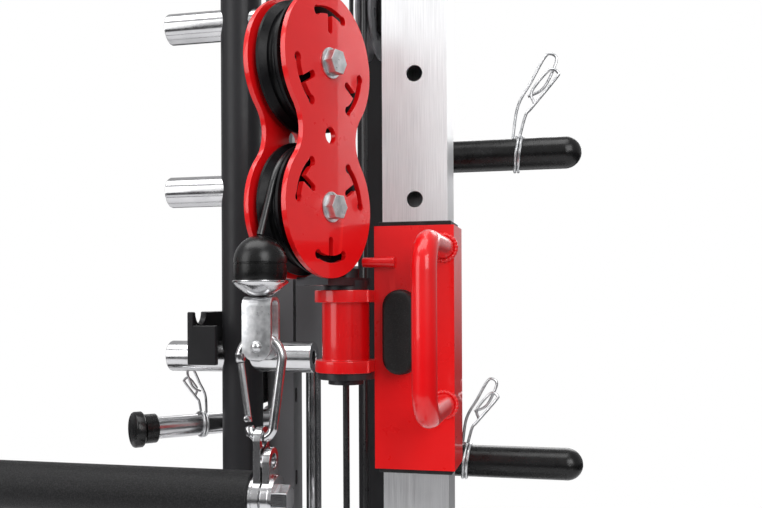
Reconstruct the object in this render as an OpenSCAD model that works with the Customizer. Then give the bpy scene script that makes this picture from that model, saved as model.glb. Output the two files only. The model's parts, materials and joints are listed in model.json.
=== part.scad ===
// Cable machine with two towers. Each tower has a pinned carriage on a stainless rail, a
// swivelling pulley housing, and a plate-loaded sled on guide rods. A long bar joins both cables.

/* [Frame] */
// Distance from the machine's centre to each rail's centre
rail_x = 800; // [700:10:1000]
// Overall height of the frame
frame_h = 2200; // [2120:10:2400]
// Length of each floor beam, front to back
foot_len = 850; // [760:10:1100]
// Wall-side width of the square posts and floor beams' height
post_w = 80; // [70:1:90]
// Height of the floor and crown beams
beam_h = 60; // [50:1:70]
// Diameter of the round rack posts
rack_d = 50; // [40:1:56]
// Diameter of the chrome pegs through the rack posts
peg_d = 38; // [30:1:44]
// Length of the chrome pegs
peg_len = 188; // [150:1:200]
// Vertical pitch of the chrome pegs
peg_pitch = 205.5; // [160:0.5:230]

// Wall of the frame's tubes
tube_wall = 3; // [2:0.5:4]

/* [Rail and carriage] */
// Width of the rail
rail_w = 60; // [54:1:66]
// Depth of the rail
rail_t = 40; // [36:1:44]
// Diameter of the index holes
hole_d = 14.8; // [12:0.2:18]
// Vertical pitch of the index holes
hole_pitch = 114.3; // [100:0.1:116]
// Number of index holes
hole_n = 16; // [14:1:16]
// Length of the carriage sleeve
sleeve_h = 220; // [200:1:240]
// Wall of the carriage sleeve
sleeve_wall = 3; // [2.5:0.1:4]
// Thickness of the slide liners
liner_t = 3.2; // [2.5:0.1:4]
// Diameter of the lift handle's rod
grip_d = 20; // [16:1:24]
// Height between the lift handle's legs
handle_h = 140; // [120:1:150]
// Distance from the sleeve to the lift handle's grip centre
handle_out = 101; // [80:1:120]

/* [Pulley housing] */
// Outer diameter of the housing's pulleys
pulley_d = 114; // [100:1:116]
// Height between the housing's pulleys
pulley_gap = 121.5; // [120:0.5:130]
// Radius of the housing plates' round ends
lobe_r = 60; // [59:0.5:64]
// Half the width of the housing plates' waist
waist_r = 37.5; // [32:0.5:44]
// Thickness of the housing plates
plate_t = 5; // [4:0.5:6]
// Half the space between the plates
half_gap = 17; // [16:0.5:20]
// Outer diameter of the swivel barrel
barrel_d = 43; // [40:1:46]
// Angle of the housing from the machine's inward direction towards its front
face_angle = 70; // [60:1:80]
// Diameter of the cable
cable_d = 6; // [4:0.5:8]

/* [Guide pulleys and sled] */
// Outer diameter of the guide pulleys
guide_d = 82; // [70:1:88]
// Diameter of the guide rods
rod_d = 20; // [18:1:24]
// Length of the sled's plate horn
horn_len = 172; // [150:1:220]
// Diameter of the sled's plate horn
horn_d = 27; // [24:1:30]

/* [Pull bar] */
// Outer diameter of the pull bar
bar_d = 41; // [28:1:44]

/* [Hidden] */
$fn = 48;
gap = 0.3;               // clearance between pieces that move on each other
groove_gap = 0.8;        // clearance between a cable and its groove
red = "#c8101c";
black = "#1b1b1d";
chrome = "#c9ccd0";

// Places are measured from the rail: x across, y back from the rail's front face.
foot_front = -250;                     // floor beam's front end
front_y = -(foot_front + foot_len / 2);  // rail front in the machine, whose middle is at zero
post_x = -12 - post_w / 2;             // rear square post
post_y = 190;
rack_x = -260;                         // round rack post
rack_y = 230;
rod_xs = [-200, -90];                  // guide rods
rod_y = 330;
sled_x = (rod_xs[0] + rod_xs[1]) / 2;
pin_z = 277 + 7 * hole_pitch;          // hole that the lock pin sits in
car_z = pin_z - 20;                    // middle of the carriage
rail_top = frame_h - beam_h;

sleeve_in_w = rail_w + 2 * liner_t + 2 * gap;
sleeve_in_t = rail_t + 2 * liner_t + 2 * gap;
sleeve_w = sleeve_in_w + 2 * sleeve_wall;
sleeve_t = sleeve_in_t + 2 * sleeve_wall;
sleeve_front = rail_t / 2 - sleeve_t / 2;

flange_r = 28;
axis_x = -sleeve_w / 2 - barrel_d / 2 - 4;   // swivel axis
axis_y = -12;
barrel_top = 52;
barrel_h = 74;
flange_t = 11;
groove_r = pulley_d / 2 - 5;
low_z = barrel_top + 9.5 + lobe_r;     // lower pulley's centre above the carriage's middle
high_z = low_z + pulley_gap;
ball_x = groove_r + 65;                // stop ball's distance out from the swivel axis
ball_z = low_z - 48;
ball_r = 21.4;
cup_t = 13;
strap_w = 24;
rivet_z = 7;
rivet_d = 7;
hook_low = -70;                        // underside of the spring hook
wire_d = 7.5;
end_x = axis_x - ball_x * cos(face_angle);
end_y = axis_y - ball_x * sin(face_angle);
bar_z = hook_low - 43;

guide_r = guide_d / 2 - 4;             // guide pulleys' groove radius
base_z = 150;
up_y = axis_y + 2 * guide_r;           // rising cable
guide_z = 1390;
crown_z = rail_top - 62;
run = [sled_x - axis_x, rod_y - up_y, 0];
run_dir = run / norm(run);
run_side = [run_dir[1], -run_dir[0], 0];
crown_c = [axis_x, up_y, crown_z] + guide_r * run_dir;
drop_c = [sled_x, rod_y, crown_z] - guide_r * run_dir;
run_angle = atan2(run_dir[1], run_dir[0]);
sled_top = car_z + 87;
sled_h = 135;
sled_t = 50;

// ---- placing ----
module tower(side) {
  mirror([side < 0 ? 1 : 0, 0, 0]) translate([rail_x, front_y, 0]) children();
}
module both() {
  for (side = [-1, 1]) tower(side) children();
}
module carriage() {
  translate([0, 0, car_z]) children();
}
// x runs out of the housing, y towards its outer plate
module housing() {
  translate([axis_x, axis_y, car_z]) rotate([0, 0, 180 + face_angle]) children();
}
module cable_end() {
  translate([end_x, end_y, car_z]) children();
}
module box(lo, hi) {
  translate(lo) cube(hi - lo);
}
module rod_x(d, from, to) {
  translate([from, 0, 0]) rotate([0, 90, 0]) cylinder(d = d, h = to - from);
}
module rod_y(d, from, to) {
  translate([0, to, 0]) rotate([90, 0, 0]) cylinder(d = d, h = to - from);
}

// ---- frame ----
// Beams of both ends of the frame: two along y, one across the back and two under the rack posts
module beams(z, grow, front, back) {
  lo = z - grow;
  hi = z + beam_h + grow;
  both() {
    box([post_x - post_w / 2 - grow, front + 5 * grow, lo], [rail_w / 2 + grow, back - 5 * grow, hi]);
    box([rack_x - 30 - grow, rack_y - 35 - grow, lo], [rack_x + 30 + grow, rod_y, hi]);
  }
  box([-rail_x, front_y + rod_y - 30 - grow, lo], [rail_x, front_y + rod_y + 30 + grow, hi]);
}
module hollow_beams(z, front, back) {
  difference() {
    beams(z, 0, front, back);
    beams(z, -tube_wall, front, back);
  }
}
module floor_frame() {
  foot_back = foot_front + foot_len;
  color(black) {
    hollow_beams(0, foot_front, foot_back);
    both() for (y = [foot_front + 90, foot_back - 90]) difference() {
      box([rail_w / 2 - 1, y - 45, 0], [rail_w / 2 + 80, y + 45, 8]);
      translate([rail_w / 2 + 45, y, -1]) cylinder(d = 13, h = 10);
    }
  }
}
module rear_posts() {
  w = post_w / 2;
  color(black) both() translate([post_x, post_y, 0]) difference() {
    box([-w, -w, beam_h], [w, w, rail_top]);
    box([tube_wall - w, tube_wall - w, 0], [w - tube_wall, w - tube_wall, frame_h]);
    // corner window for the cable to the sled
    box([-w - 1, -w - 1, crown_z + guide_r - 15], [14 - w, w + 1, crown_z + guide_r + 15]);
  }
}
module crown_frame() {
  color(black) {
    hollow_beams(rail_top, -10, rod_y + 30);
    translate([0, front_y + 30, rail_top + beam_h / 2])
      rod_x(32, -rail_x + post_w, rail_x - post_w);
  }
}
module rails() {
  color("#b9bcc0") both() difference() {
    box([-rail_w / 2, 0, beam_h], [rail_w / 2, rail_t, rail_top]);
    box([tube_wall - rail_w / 2, tube_wall, 0], [rail_w / 2 - tube_wall, rail_t - tube_wall, frame_h]);
    for (i = [0 : hole_n - 1])
      translate([0, 0, 277 + i * hole_pitch]) rod_y(hole_d, -1, tube_wall + 1);
  }
}
hook_peg_z = car_z - 26;   // peg that the bar's cradle hangs on
module rack_posts() {
  color(black) both() translate([rack_x, rack_y, 0]) difference() {
    translate([0, 0, beam_h]) cylinder(d = rack_d, h = rail_top - beam_h);
    cylinder(d = rack_d - 2 * tube_wall, h = frame_h);
    for (i = [-3 : 4])
      translate([0, 0, hook_peg_z + i * peg_pitch]) rod_x(peg_d, -rack_d, rack_d);
  }
}
module rack_pegs() {
  color(chrome) both() for (i = [-3 : 4])
    translate([rack_x - 1, rack_y, hook_peg_z + i * peg_pitch]) difference() {
      rod_x(peg_d, -peg_len / 2, peg_len / 2);
      rod_x(16, peg_len / 2 - 25, peg_len / 2 + 1);
    }
}
// A cradle that hangs over a rack peg inboard of its post
module bar_hooks() {
  x = rack_x - 37;
  z = hook_peg_z;
  color(black) both() {
    difference() {
      box([x - 4, rack_y - 70, z - 6], [x + 4, rack_y + 32, z + 56]);
      translate([x - 5, rack_y, z]) rod_x(peg_d + 2 * gap, 0, 10);
      box([x - 5, rack_y - peg_d / 2 - gap, z - 7], [x + 5, rack_y + peg_d / 2 + gap, z]);
      translate([x - 5, rack_y - 48, z + 56]) rod_x(30, 0, 10);
    }
    box([x + 4, rack_y - 70, z - 6], [x + 32, rack_y - 62, z + 40]);
  }
}
module guide_rods() {
  color(chrome) both() for (x = rod_xs)
    translate([x, rod_y, beam_h]) cylinder(d = rod_d, h = rail_top - beam_h);
}
peg_z = [car_z + 203, car_z - 137];
module storage_pegs() {
  color(chrome) both() for (z = peg_z)
    translate([0, post_y, z]) rod_x(24, post_x + post_w / 2, 120);
}
module peg_sleeves() {
  color(black) both() for (z = peg_z) translate([0, post_y, z]) difference() {
    union() {
      rod_x(35, post_x + post_w / 2, 132);
      translate([132, 0, 0]) sphere(d = 35);
    }
    rod_x(24, post_x + post_w / 2 - 1, 120);
  }
}
// Coil collars with two grip wires
module clip(d) {
  rotate([0, 90, 0]) rotate_extrude() translate([d / 2 + 1.5 + 0.05, 0]) circle(d = 3, $fn = 16);
  translate([3.2, 0, 0]) rotate([0, 90, 0])
    rotate_extrude() translate([d / 2 + 1.5 + 0.05, 0]) circle(d = 3, $fn = 16);
  for (x = [0, 3.2])
    translate([x, 0, d / 2 + 1.5]) rotate([0, 12 + 4 * x, 0]) cylinder(d = 3, h = 60, $fn = 16);
}
module spring_clips() {
  color(chrome) both() for (z = peg_z)
    translate([z > car_z ? 79 : 20, post_y, z]) clip(35);
}
module yoke(reach) {
  for (s = [-1, 1]) difference() {
    box([-18, s * 12.5 - (s > 0 ? 3 : 0), -18], [18, s * 12.5 + (s > 0 ? 0 : 3), reach]);
    rod_y(10, -20, 20);
  }
  rod_y(10, -16, 16);
}
module pulley_brackets() {
  color(black) both() {
    translate([axis_x, axis_y + guide_r, base_z]) rotate([180, 0, 90]) yoke(base_z - beam_h);
    translate([axis_x, up_y + guide_r, guide_z]) rotate([0, 0, 90]) rotate([0, 90, 0])
      yoke(post_y - post_w / 2 - up_y - guide_r);
    for (c = [crown_c, drop_c])
      translate(c) rotate([0, 0, run_angle]) yoke(rail_top - crown_z);
  }
}

// ---- pulleys ----
// Grooved wheel on the y axis, bored for its axle; the cable's centre lies at rope_r
module wheel(d, w, bore, rope_r) {
  seat = cable_d / 2 + groove_gap;
  rotate([90, 0, 0]) rotate_extrude($fn = 96) difference() {
    translate([bore / 2 + 0.05, -w / 2]) square([d / 2 - bore / 2 - 0.05, w]);
    translate([rope_r, 0]) circle(r = seat, $fn = 32);
    polygon([[rope_r, -seat], [d / 2 + 1, 1.5 - w / 2], [d / 2 + 1, w / 2 - 1.5], [rope_r, seat]]);
  }
}
module guide_wheel() {
  color("#77797c") difference() {
    wheel(guide_d, 16, 10, guide_r);
    for (a = [0 : 60 : 359]) rotate([0, a, 0]) translate([guide_d * 0.27, 0, 0]) rod_y(11, -10, 10);
  }
}
module base_pulley(side) {
  tower(side) translate([axis_x, axis_y + guide_r, base_z]) rotate([0, 0, 90]) guide_wheel();
}
module guide_pulley(side) {
  tower(side) translate([axis_x, up_y + guide_r, guide_z]) rotate([0, 0, 90]) guide_wheel();
}
module crown_pulley(side) {
  tower(side) translate(crown_c) rotate([0, 0, run_angle]) guide_wheel();
}
module drop_pulley(side) {
  tower(side) translate(drop_c) rotate([0, 0, run_angle]) guide_wheel();
}

// ---- carriage ----
module sleeve(side) {
  color(red) tower(side) carriage() {
    difference() {
      box([-sleeve_w / 2, sleeve_front, -sleeve_h / 2],
          [sleeve_w / 2, sleeve_front + sleeve_t, sleeve_h / 2]);
      box([-sleeve_in_w / 2, sleeve_front + sleeve_wall, -sleeve_h],
          [sleeve_in_w / 2, sleeve_front + sleeve_t - sleeve_wall, sleeve_h]);
      translate([-12, sleeve_front - 1, 14]) slot_y(31, 77, sleeve_wall + 2);
    }
    // swivel stop and its weld
    translate([0, sleeve_front - 3.5, 77]) rod_x(9, -46, -20);
    translate([0, sleeve_front - 2.5, 77]) rod_x(10, -24, -17);
  }
}
module slot_y(w, h, depth) {
  translate([0, depth, 0]) rotate([90, 0, 0]) linear_extrude(depth) {
    translate([0, (h - w) / 2]) circle(d = w);
    translate([0, -(h - w) / 2]) circle(d = w);
    square([w, h - w], center = true);
  }
}
module liners(side) {
  out_w = sleeve_in_w;
  out_t = sleeve_in_t;
  color(black) tower(side) carriage() for (s = [-1, 1]) difference() {
    box([-out_w / 2, sleeve_front + sleeve_wall, s > 0 ? sleeve_h / 2 - 45 : -sleeve_h / 2 - 4],
        [out_w / 2, sleeve_front + sleeve_wall + out_t, s > 0 ? sleeve_h / 2 + 4 : -sleeve_h / 2 + 45]);
    box([-rail_w / 2 - gap, -gap, -sleeve_h], [rail_w / 2 + gap, rail_t + gap, sleeve_h]);
  }
}
handle_bend = 24;
module handle(side) {
  y0 = sleeve_front;
  y1 = sleeve_front - handle_out;
  z = handle_h / 2;
  color(red) tower(side) carriage() translate([27, 0, 19.5]) {
    for (s = [-1, 1]) {
      translate([0, 0, s * z]) rod_y(grip_d, y1 + handle_bend, y0);
      translate([0, 0, s * z]) rotate([90, 0, 0]) translate([0, 0, -y0])
        cylinder(d1 = grip_d + 5, d2 = grip_d, h = 4);
      translate([0, y1 + handle_bend, s * (z - handle_bend)]) rotate([0, -90, 0])
        rotate([0, 0, s > 0 ? -90 : 180])
        rotate_extrude(angle = 90) translate([handle_bend, 0]) circle(d = grip_d, $fn = 32);
    }
    translate([0, y1, -z + handle_bend]) cylinder(d = grip_d, h = 2 * (z - handle_bend), $fn = 32);
  }
}
module release_grip(side) {
  color("#101012") tower(side) carriage() translate([-12, sleeve_front - 15, 14]) slot_y(30, 76, 15 + sleeve_wall);
}
// Drawn with the grip pulled: let go, the grip and pin move back until the pin stands in the rail's wall
module lock_pin(side) {
  color(chrome) tower(side) translate([0, 0, pin_z]) rod_y(hole_d - 0.8, sleeve_front + sleeve_wall, -gap);
}
module barrel(side) {
  color(red) tower(side) carriage() translate([axis_x, axis_y, barrel_top - barrel_h]) difference() {
    union() {
      cylinder(d = barrel_d, h = barrel_h);
      for (z = [0, barrel_h - flange_t]) {
        translate([0, 0, z]) cylinder(r = flange_r, h = flange_t);
        box([0, -15, z], [-sleeve_w / 2 - axis_x, 15, z + flange_t]);
      }
    }
    translate([0, 0, -1]) cylinder(d = 25.1, h = barrel_h + 2);
    // the flanges end at the sleeve's side
    translate([-sleeve_w / 2 - axis_x, -40, -1]) cube([40, 80, barrel_h + 2]);
  }
}
module spindle(side) {
  top = low_z - lobe_r + 10;
  color("#2a2b2d") tower(side) housing() difference() {
    union() {
      translate([0, 0, barrel_top - barrel_h - 11]) cylinder(d = 25, h = top - barrel_top + barrel_h + 11);
      translate([0, 0, barrel_top + gap]) cylinder(r = 20, h = low_z - lobe_r - 1 - barrel_top);
      box([-14, -half_gap, barrel_top + 4], [50, half_gap, low_z - pulley_d / 2 - 1.5]);
      translate([0, 0, barrel_top - barrel_h - 6]) cylinder(r = 26, h = 6 - gap);
      translate([0, 0, barrel_top - barrel_h - 11]) cylinder(r = 16, h = 5);
    }
    translate([0, 0, barrel_top - barrel_h - 20]) cylinder(d = cable_d + 3, h = 200);
    translate([groove_r, 0, low_z]) rod_y(pulley_d + 2, -9, 9);
  }
}
// Outline of a housing plate, lying along y
module plate_outline() {
  half = pulley_gap / 2;
  bite = ((half * half) + waist_r * waist_r - lobe_r * lobe_r) / (2 * (lobe_r - waist_r));
  far = lobe_r + bite;
  tx = (waist_r + bite) * lobe_r / far;
  ty = half - half * lobe_r / far;
  for (s = [-1, 1]) translate([0, s * half]) circle(r = lobe_r, $fn = 96);
  difference() {
    square([2 * tx, 2 * ty], center = true);
    for (s = [-1, 1]) translate([s * (waist_r + bite), 0]) circle(r = bite, $fn = 96);
  }
}
// Anchor-shaped window: an arc near the rim and a stem towards the middle
module window(a) {
  r = 44;
  w = 6;
  spread = 24;
  rotate(a) {
    intersection() {
      difference() {
        circle(r = r + w / 2, $fn = 96);
        circle(r = r - w / 2, $fn = 96);
      }
      polygon([[0, 0], [70, -70 * tan(spread)], [70, 70 * tan(spread)]]);
    }
    for (s = [-1, 1]) rotate(s * spread) translate([r, 0]) circle(d = w + 2);
    translate([r - 16, -w / 2]) square([16, w]);
    translate([r - 16, 0]) circle(d = w);
  }
}
module plate_face() {
  half = pulley_gap / 2;
  difference() {
    plate_outline();
    for (s = [-1, 1]) translate([0, s * half]) {
      circle(d = 12);
      for (a = [90, 210, 330]) window(s * a);
    }
    circle(d = 14);
  }
}
module plates(side) {
  color(red) tower(side) housing() for (s = [-1, 1])
    translate([groove_r, s > 0 ? half_gap + plate_t : -half_gap, (low_z + high_z) / 2])
      rotate([90, 0, 0]) linear_extrude(plate_t) plate_face();
}
module housing_pulley(side, z) {
  color("#141416") tower(side) housing() translate([groove_r, 0, z]) {
    wheel(pulley_d, 22, 12, groove_r);
  }
}
module housing_bolts(side) {
  y = half_gap + plate_t;
  color(chrome) tower(side) housing() {
    for (z = [low_z, high_z]) translate([groove_r, 0, z]) {
      rod_y(12, -y - 12, y + 1.5);
      for (s = [-1, 1]) translate([0, s * (half_gap - 2.5), 0]) difference() {
        rod_y(20, -2.5, 2.5);
        rod_y(12, -3, 3);
      }
      translate([0, y + 1.5, 0]) rotate([-90, 0, 0]) cylinder(d = 22, h = 8, $fn = 6);
      difference() {
        translate([0, y + 1.5, 0]) rod_y(26, -1.5, 0);
        rod_y(12, -50, 50);
      }
      difference() {
        translate([0, -y, 0]) rotate([90, 0, 0]) cylinder(d = 22, h = 10, $fn = 6);
        rod_y(12, -50, 50);
      }
    }
  }
}

// ---- cable end ----
module stop_ball(side) {
  color(black) tower(side) cable_end() difference() {
    union() {
      translate([0, 0, ball_z]) sphere(r = ball_r, $fn = 64);
      translate([0, 0, ball_z - 14.5]) cylinder(r = ball_r, h = 14.5, $fn = 64);
    }
    box([-40, -40, ball_z - 60], [40, 40, ball_z - 14.5]);
  }
}
module end_strap(side) {
  top = ball_z - 14.5;
  low = rivet_z;
  color(chrome) tower(side) cable_end() {
    translate([0, 0, top - cup_t]) cylinder(r1 = 15, r2 = ball_r + 1, h = cup_t, $fn = 64);
    // bent strap with two cheeks and a rivet across them
    difference() {
      union() {
        for (s = [-1, 1]) {
          translate([0, s * 9 + 1.5, low]) rotate([90, 0, 0]) cylinder(r = strap_w / 2, h = 3);
          box([-strap_w / 2, s * 9 - 1.5, low], [strap_w / 2, s * 9 + 1.5, top - cup_t]);
        }
        box([-strap_w / 2, -10.5, top - cup_t - 3], [strap_w / 2, 10.5, top - cup_t]);
      }
    }
    translate([0, 0, low]) rod_y(rivet_d, -12.5, 12.5);
  }
}
// Pear-shaped spring hook in the x-z plane
hook_top_r = 17.5;
hook_low_r = 10;
hook_top_z = rivet_z + rivet_d / 2 + gap + wire_d / 2 - hook_top_r;
hook_low_z = hook_low + wire_d / 2 + hook_low_r;
module wire_arc(r, from, sweep) {
  rotate([90, 0, 0]) rotate([0, 0, from])
    rotate_extrude(angle = sweep) translate([r, 0]) circle(d = wire_d, $fn = 24);
}
module wire(a, b, d) {
  v = b - a;
  translate(a) rotate([0, acos(v[2] / norm(v)), atan2(v[1], v[0])]) cylinder(d = d, h = norm(v), $fn = 24);
}
side_lean = asin((hook_top_r - hook_low_r) / (hook_top_z - hook_low_z));
function hook_pt(s, r, z) = [s * r * cos(side_lean), 0, z - r * sin(side_lean)];
module carabiner(side) {
  a = hook_pt(1, hook_top_r, hook_top_z);
  b = hook_pt(1, hook_low_r, hook_low_z);
  c = hook_pt(-1, hook_low_r, hook_low_z);
  color(chrome) tower(side) cable_end() {
    translate([0, 0, hook_top_z]) wire_arc(hook_top_r, -side_lean, 180 + 2 * side_lean);
    wire(a, b, wire_d);
    translate([0, 0, hook_low_z]) wire_arc(hook_low_r, 180 + side_lean, 180 - 2 * side_lean);
    for (joint = [a, b, c]) translate(joint) sphere(d = wire_d + 0.6, $fn = 24);
  }
}
module gate(side) {
  c = hook_pt(-1, hook_low_r, hook_low_z);
  a = hook_pt(-1, hook_top_r, hook_top_z);
  v = (a - c) / norm(a - c);
  color(chrome) tower(side) cable_end()
    wire(c + v * (wire_d / 2 + gap), a - v * 1.2, 6);
}

// ---- pull bar ----
bar_end_x = rail_x + end_x - 6;
tab_hole = 12;
tab_z = hook_low + wire_d + 0.8 - tab_hole / 2;   // link tab's hole, hung on the hook
module pull_bar() {
  color("#161617") translate([0, front_y + end_y, car_z + bar_z]) difference() {
    rod_x(bar_d, -bar_end_x, bar_end_x);
    rod_x(bar_d - 2 * tube_wall, 45 - bar_end_x, bar_end_x - 45);
    for (s = [-1, 1]) translate([s * (bar_end_x - 20), 0, 0]) rod_x(12, -21, 21);
  }
}
module bar_end_fittings() {
  color(chrome) both() cable_end() {
    // long link tab on the hook and short one beside it
    for (tab = [[-3, tab_z], [4.5, hook_low - 14]]) difference() {
      union() {
        box([tab[0], -11, bar_z], [tab[0] + 6, 11, tab[1]]);
        translate([0, 0, tab[1]]) rod_x(22, tab[0], tab[0] + 6);
        translate([0, 0, bar_z]) rod_x(34, tab[0], tab[0] + 6);
      }
      translate([0, 0, tab[1]]) rod_x(tab_hole, tab[0] - 1, tab[0] + 7);
      translate([0, 0, bar_z]) rod_x(12, tab[0] - 1, tab[0] + 7);
    }
    translate([0, 0, bar_z]) {
      rod_x(12, -40, 24);
      for (washer = [[36, -6, -3], [24, 3, 4.5], [36, 10.5, 14]]) difference() {
        rod_x(washer[0], washer[1], washer[2]);
        rod_x(12, washer[1] - 1, washer[2] + 1);
      }
      translate([14, 0, 0]) rotate([0, 90, 0]) cylinder(d = 22, h = 10, $fn = 6);
    }
  }
}

// ---- cables ----
function unit(v) = v / norm(v);
// Ring points round each route point; side[i] lies across the route there
module tube(pts, side, d, n = 8) {
  last = len(pts) - 1;
  rings = [for (i = [0 : last])
    let (t = unit(pts[min(i + 1, last)] - pts[max(i - 1, 0)]), u = side[i], w = cross(t, u))
    for (k = [0 : n - 1]) pts[i] + d / 2 * (cos(k * 360 / n) * u + sin(k * 360 / n) * w)];
  walls = [for (i = [0 : last - 1], k = [0 : n - 1], half = [0, 1])
    let (a = i * n + k, b = i * n + (k + 1) % n) half == 0 ? [a, a + n, b + n] : [a, b + n, b]];
  polyhedron(rings, concat([[for (k = [0 : n - 1]) k]], walls, [[for (k = [n - 1 : -1 : 0]) last * n + k]]));
}
function arc(c, r, from, to, n, dir) =
  [for (i = [0 : n]) let (a = from + (to - from) * i / n) c + r * (cos(a) * dir + [0, 0, sin(a)])];
function fill(v, n) = [for (i = [1 : n]) v];

out_dir = [-cos(face_angle), -sin(face_angle), 0];
out_side = [-out_dir[1], out_dir[0], 0];
module cable_front(side) {
  axis = [axis_x, axis_y, 0];
  low_c = axis + groove_r * out_dir + [0, 0, car_z + low_z];
  ball_top = [end_x, end_y, car_z + ball_z + ball_r + 1];
  leave = atan2(ball_z + ball_r - low_z, ball_x - groove_r)
    + acos(groove_r / norm([ball_x - groove_r, ball_z + ball_r - low_z]));
  over = arc(low_c, groove_r, leave, 180, 14, out_dir);
  pts = concat([ball_top], over, [axis + [0, 0, car_z], axis + [0, 0, base_z + 0.7]]);
  color("#0c0c0d") tower(side) tube(pts, fill(out_side, len(pts)), cable_d);
}
module cable_rear(side) {
  base_c = [axis_x, axis_y + guide_r, base_z];
  under = arc(base_c, guide_r, 180, 360, 14, [0, 1, 0]);
  rise = arc(crown_c, guide_r, 180, 90, 8, run_dir);
  fall = arc(drop_c, guide_r, 90, 0, 8, run_dir);
  pts = concat(under, rise, fall, [[sled_x, rod_y, sled_top]]);
  sides = concat(fill([-1, 0, 0], len(under)), fill(-run_side, len(rise) + len(fall) + 1));
  color("#0c0c0d") tower(side) tube(pts, [for (s = sides) -s], cable_d);
}

// ---- weight sled ----
horn_x = rod_xs[0] - 58;
sled_lo = [rod_xs[0] - 16, rod_y - sled_t / 2, sled_top - sled_h];
module sled(side) {
  color("#3a3c40") tower(side) difference() {
    box(sled_lo, [rod_xs[1] + 16, rod_y + sled_t / 2, sled_top]);
    for (x = rod_xs) translate([x, rod_y, 0]) cylinder(d = rod_d + 0.1, h = frame_h);
  }
}
// Slotted upright beside the sled, with a plate horn welded on at 45 degrees
upright_w = 36;
module horn(side) {
  w = upright_w / 2;
  color("#3a3c40") tower(side) translate([horn_x + w, rod_y, 0]) difference() {
    box([-w, -w, beam_h], [w, w, rail_top]);
    box([tube_wall - w, tube_wall - w, 0], [w - tube_wall, w - tube_wall, frame_h]);
    for (i = [0 : 3]) translate([w + 1, -7, sled_top - 60 - i * 110]) rotate([0, 0, 90]) slot_y(9, 20, 5);
  }
  root = [horn_x, rod_y - 10, sled_top - 202];
  color(chrome) tower(side) translate(root) rotate([0, 0, 45]) {
    difference() {
      rod_x(horn_d, -horn_len, 30);
      rotate([0, 0, -45]) box([tube_wall - 1, -80, -40], [90, 80, 40]);
    }
    color(black) {
      rod_x(44, -horn_len - 12, -horn_len);
      rod_x(36, -horn_len, -horn_len + 16);
    }
  }
}

floor_frame();
rear_posts();
crown_frame();
rails();
rack_posts();
rack_pegs();
bar_hooks();
guide_rods();
storage_pegs();
peg_sleeves();
spring_clips();
pulley_brackets();
pull_bar();
bar_end_fittings();
sleeve(1);  // right_sleeve
liners(1);  // right_liners
handle(1);  // right_handle
release_grip(1);  // right_release_grip
lock_pin(1);  // right_lock_pin
barrel(1);  // right_barrel
spindle(1);  // right_spindle
plates(1);  // right_plates
housing_pulley(1, high_z);  // right_upper_pulley
housing_pulley(1, low_z);  // right_lower_pulley
housing_bolts(1);  // right_housing_bolts
stop_ball(1);  // right_stop_ball
end_strap(1);  // right_end_strap
carabiner(1);  // right_carabiner
gate(1);  // right_gate
cable_front(1);  // right_cable_front
cable_rear(1);  // right_cable_rear
base_pulley(1);  // right_base_pulley
guide_pulley(1);  // right_guide_pulley
crown_pulley(1);  // right_crown_pulley
drop_pulley(1);  // right_drop_pulley
sled(1);  // right_sled
horn(1);  // right_horn
sleeve(-1);  // left_sleeve
liners(-1);  // left_liners
handle(-1);  // left_handle
release_grip(-1);  // left_release_grip
lock_pin(-1);  // left_lock_pin
barrel(-1);  // left_barrel
spindle(-1);  // left_spindle
plates(-1);  // left_plates
housing_pulley(-1, high_z);  // left_upper_pulley
housing_pulley(-1, low_z);  // left_lower_pulley
housing_bolts(-1);  // left_housing_bolts
stop_ball(-1);  // left_stop_ball
end_strap(-1);  // left_end_strap
carabiner(-1);  // left_carabiner
gate(-1);  // left_gate
cable_front(-1);  // left_cable_front
cable_rear(-1);  // left_cable_rear
base_pulley(-1);  // left_base_pulley
guide_pulley(-1);  // left_guide_pulley
crown_pulley(-1);  // left_crown_pulley
drop_pulley(-1);  // left_drop_pulley
sled(-1);  // left_sled
horn(-1);  // left_horn
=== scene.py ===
# %% [markdown]
# # A two-tower cable trainer
# The machine is already drawn as solids that fit and move. This lesson gives it its looks:
# soft edges on pressed and welded steel, wire that bends as wire, and a finish for each surface.
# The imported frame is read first, and every place below comes from its boxes.

# %% Load the frame
import bpy
import bmesh
import json
import math
from mathutils import Matrix, Vector


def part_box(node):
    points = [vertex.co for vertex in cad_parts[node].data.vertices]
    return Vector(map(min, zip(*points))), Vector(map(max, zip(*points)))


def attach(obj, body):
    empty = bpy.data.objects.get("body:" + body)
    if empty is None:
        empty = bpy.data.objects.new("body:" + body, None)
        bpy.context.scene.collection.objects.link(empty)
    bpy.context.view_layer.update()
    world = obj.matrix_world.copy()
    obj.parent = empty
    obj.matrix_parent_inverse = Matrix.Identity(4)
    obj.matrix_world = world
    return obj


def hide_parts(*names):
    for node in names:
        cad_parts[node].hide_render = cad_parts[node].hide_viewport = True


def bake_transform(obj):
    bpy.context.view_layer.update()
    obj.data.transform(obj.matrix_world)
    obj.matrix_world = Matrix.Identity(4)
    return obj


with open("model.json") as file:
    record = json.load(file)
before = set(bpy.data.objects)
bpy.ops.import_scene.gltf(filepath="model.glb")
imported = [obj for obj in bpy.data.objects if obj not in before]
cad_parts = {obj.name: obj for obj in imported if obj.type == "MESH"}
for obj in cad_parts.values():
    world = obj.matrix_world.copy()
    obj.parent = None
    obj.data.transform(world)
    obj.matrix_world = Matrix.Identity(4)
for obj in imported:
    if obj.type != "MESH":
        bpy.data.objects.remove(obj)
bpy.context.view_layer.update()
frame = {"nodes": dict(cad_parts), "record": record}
MM = 0.001
SIDES = {"right": 1, "left": -1}

# %% [markdown]
# ## Places
# The right tower's rail and handle set the eye level and the middle of the view. Every piece made
# here is placed from them, so that it sits where its solid sits.


# %% Places of the carriage
def centre(node):
    lo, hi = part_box(node)
    return (lo + hi) / 2


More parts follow.
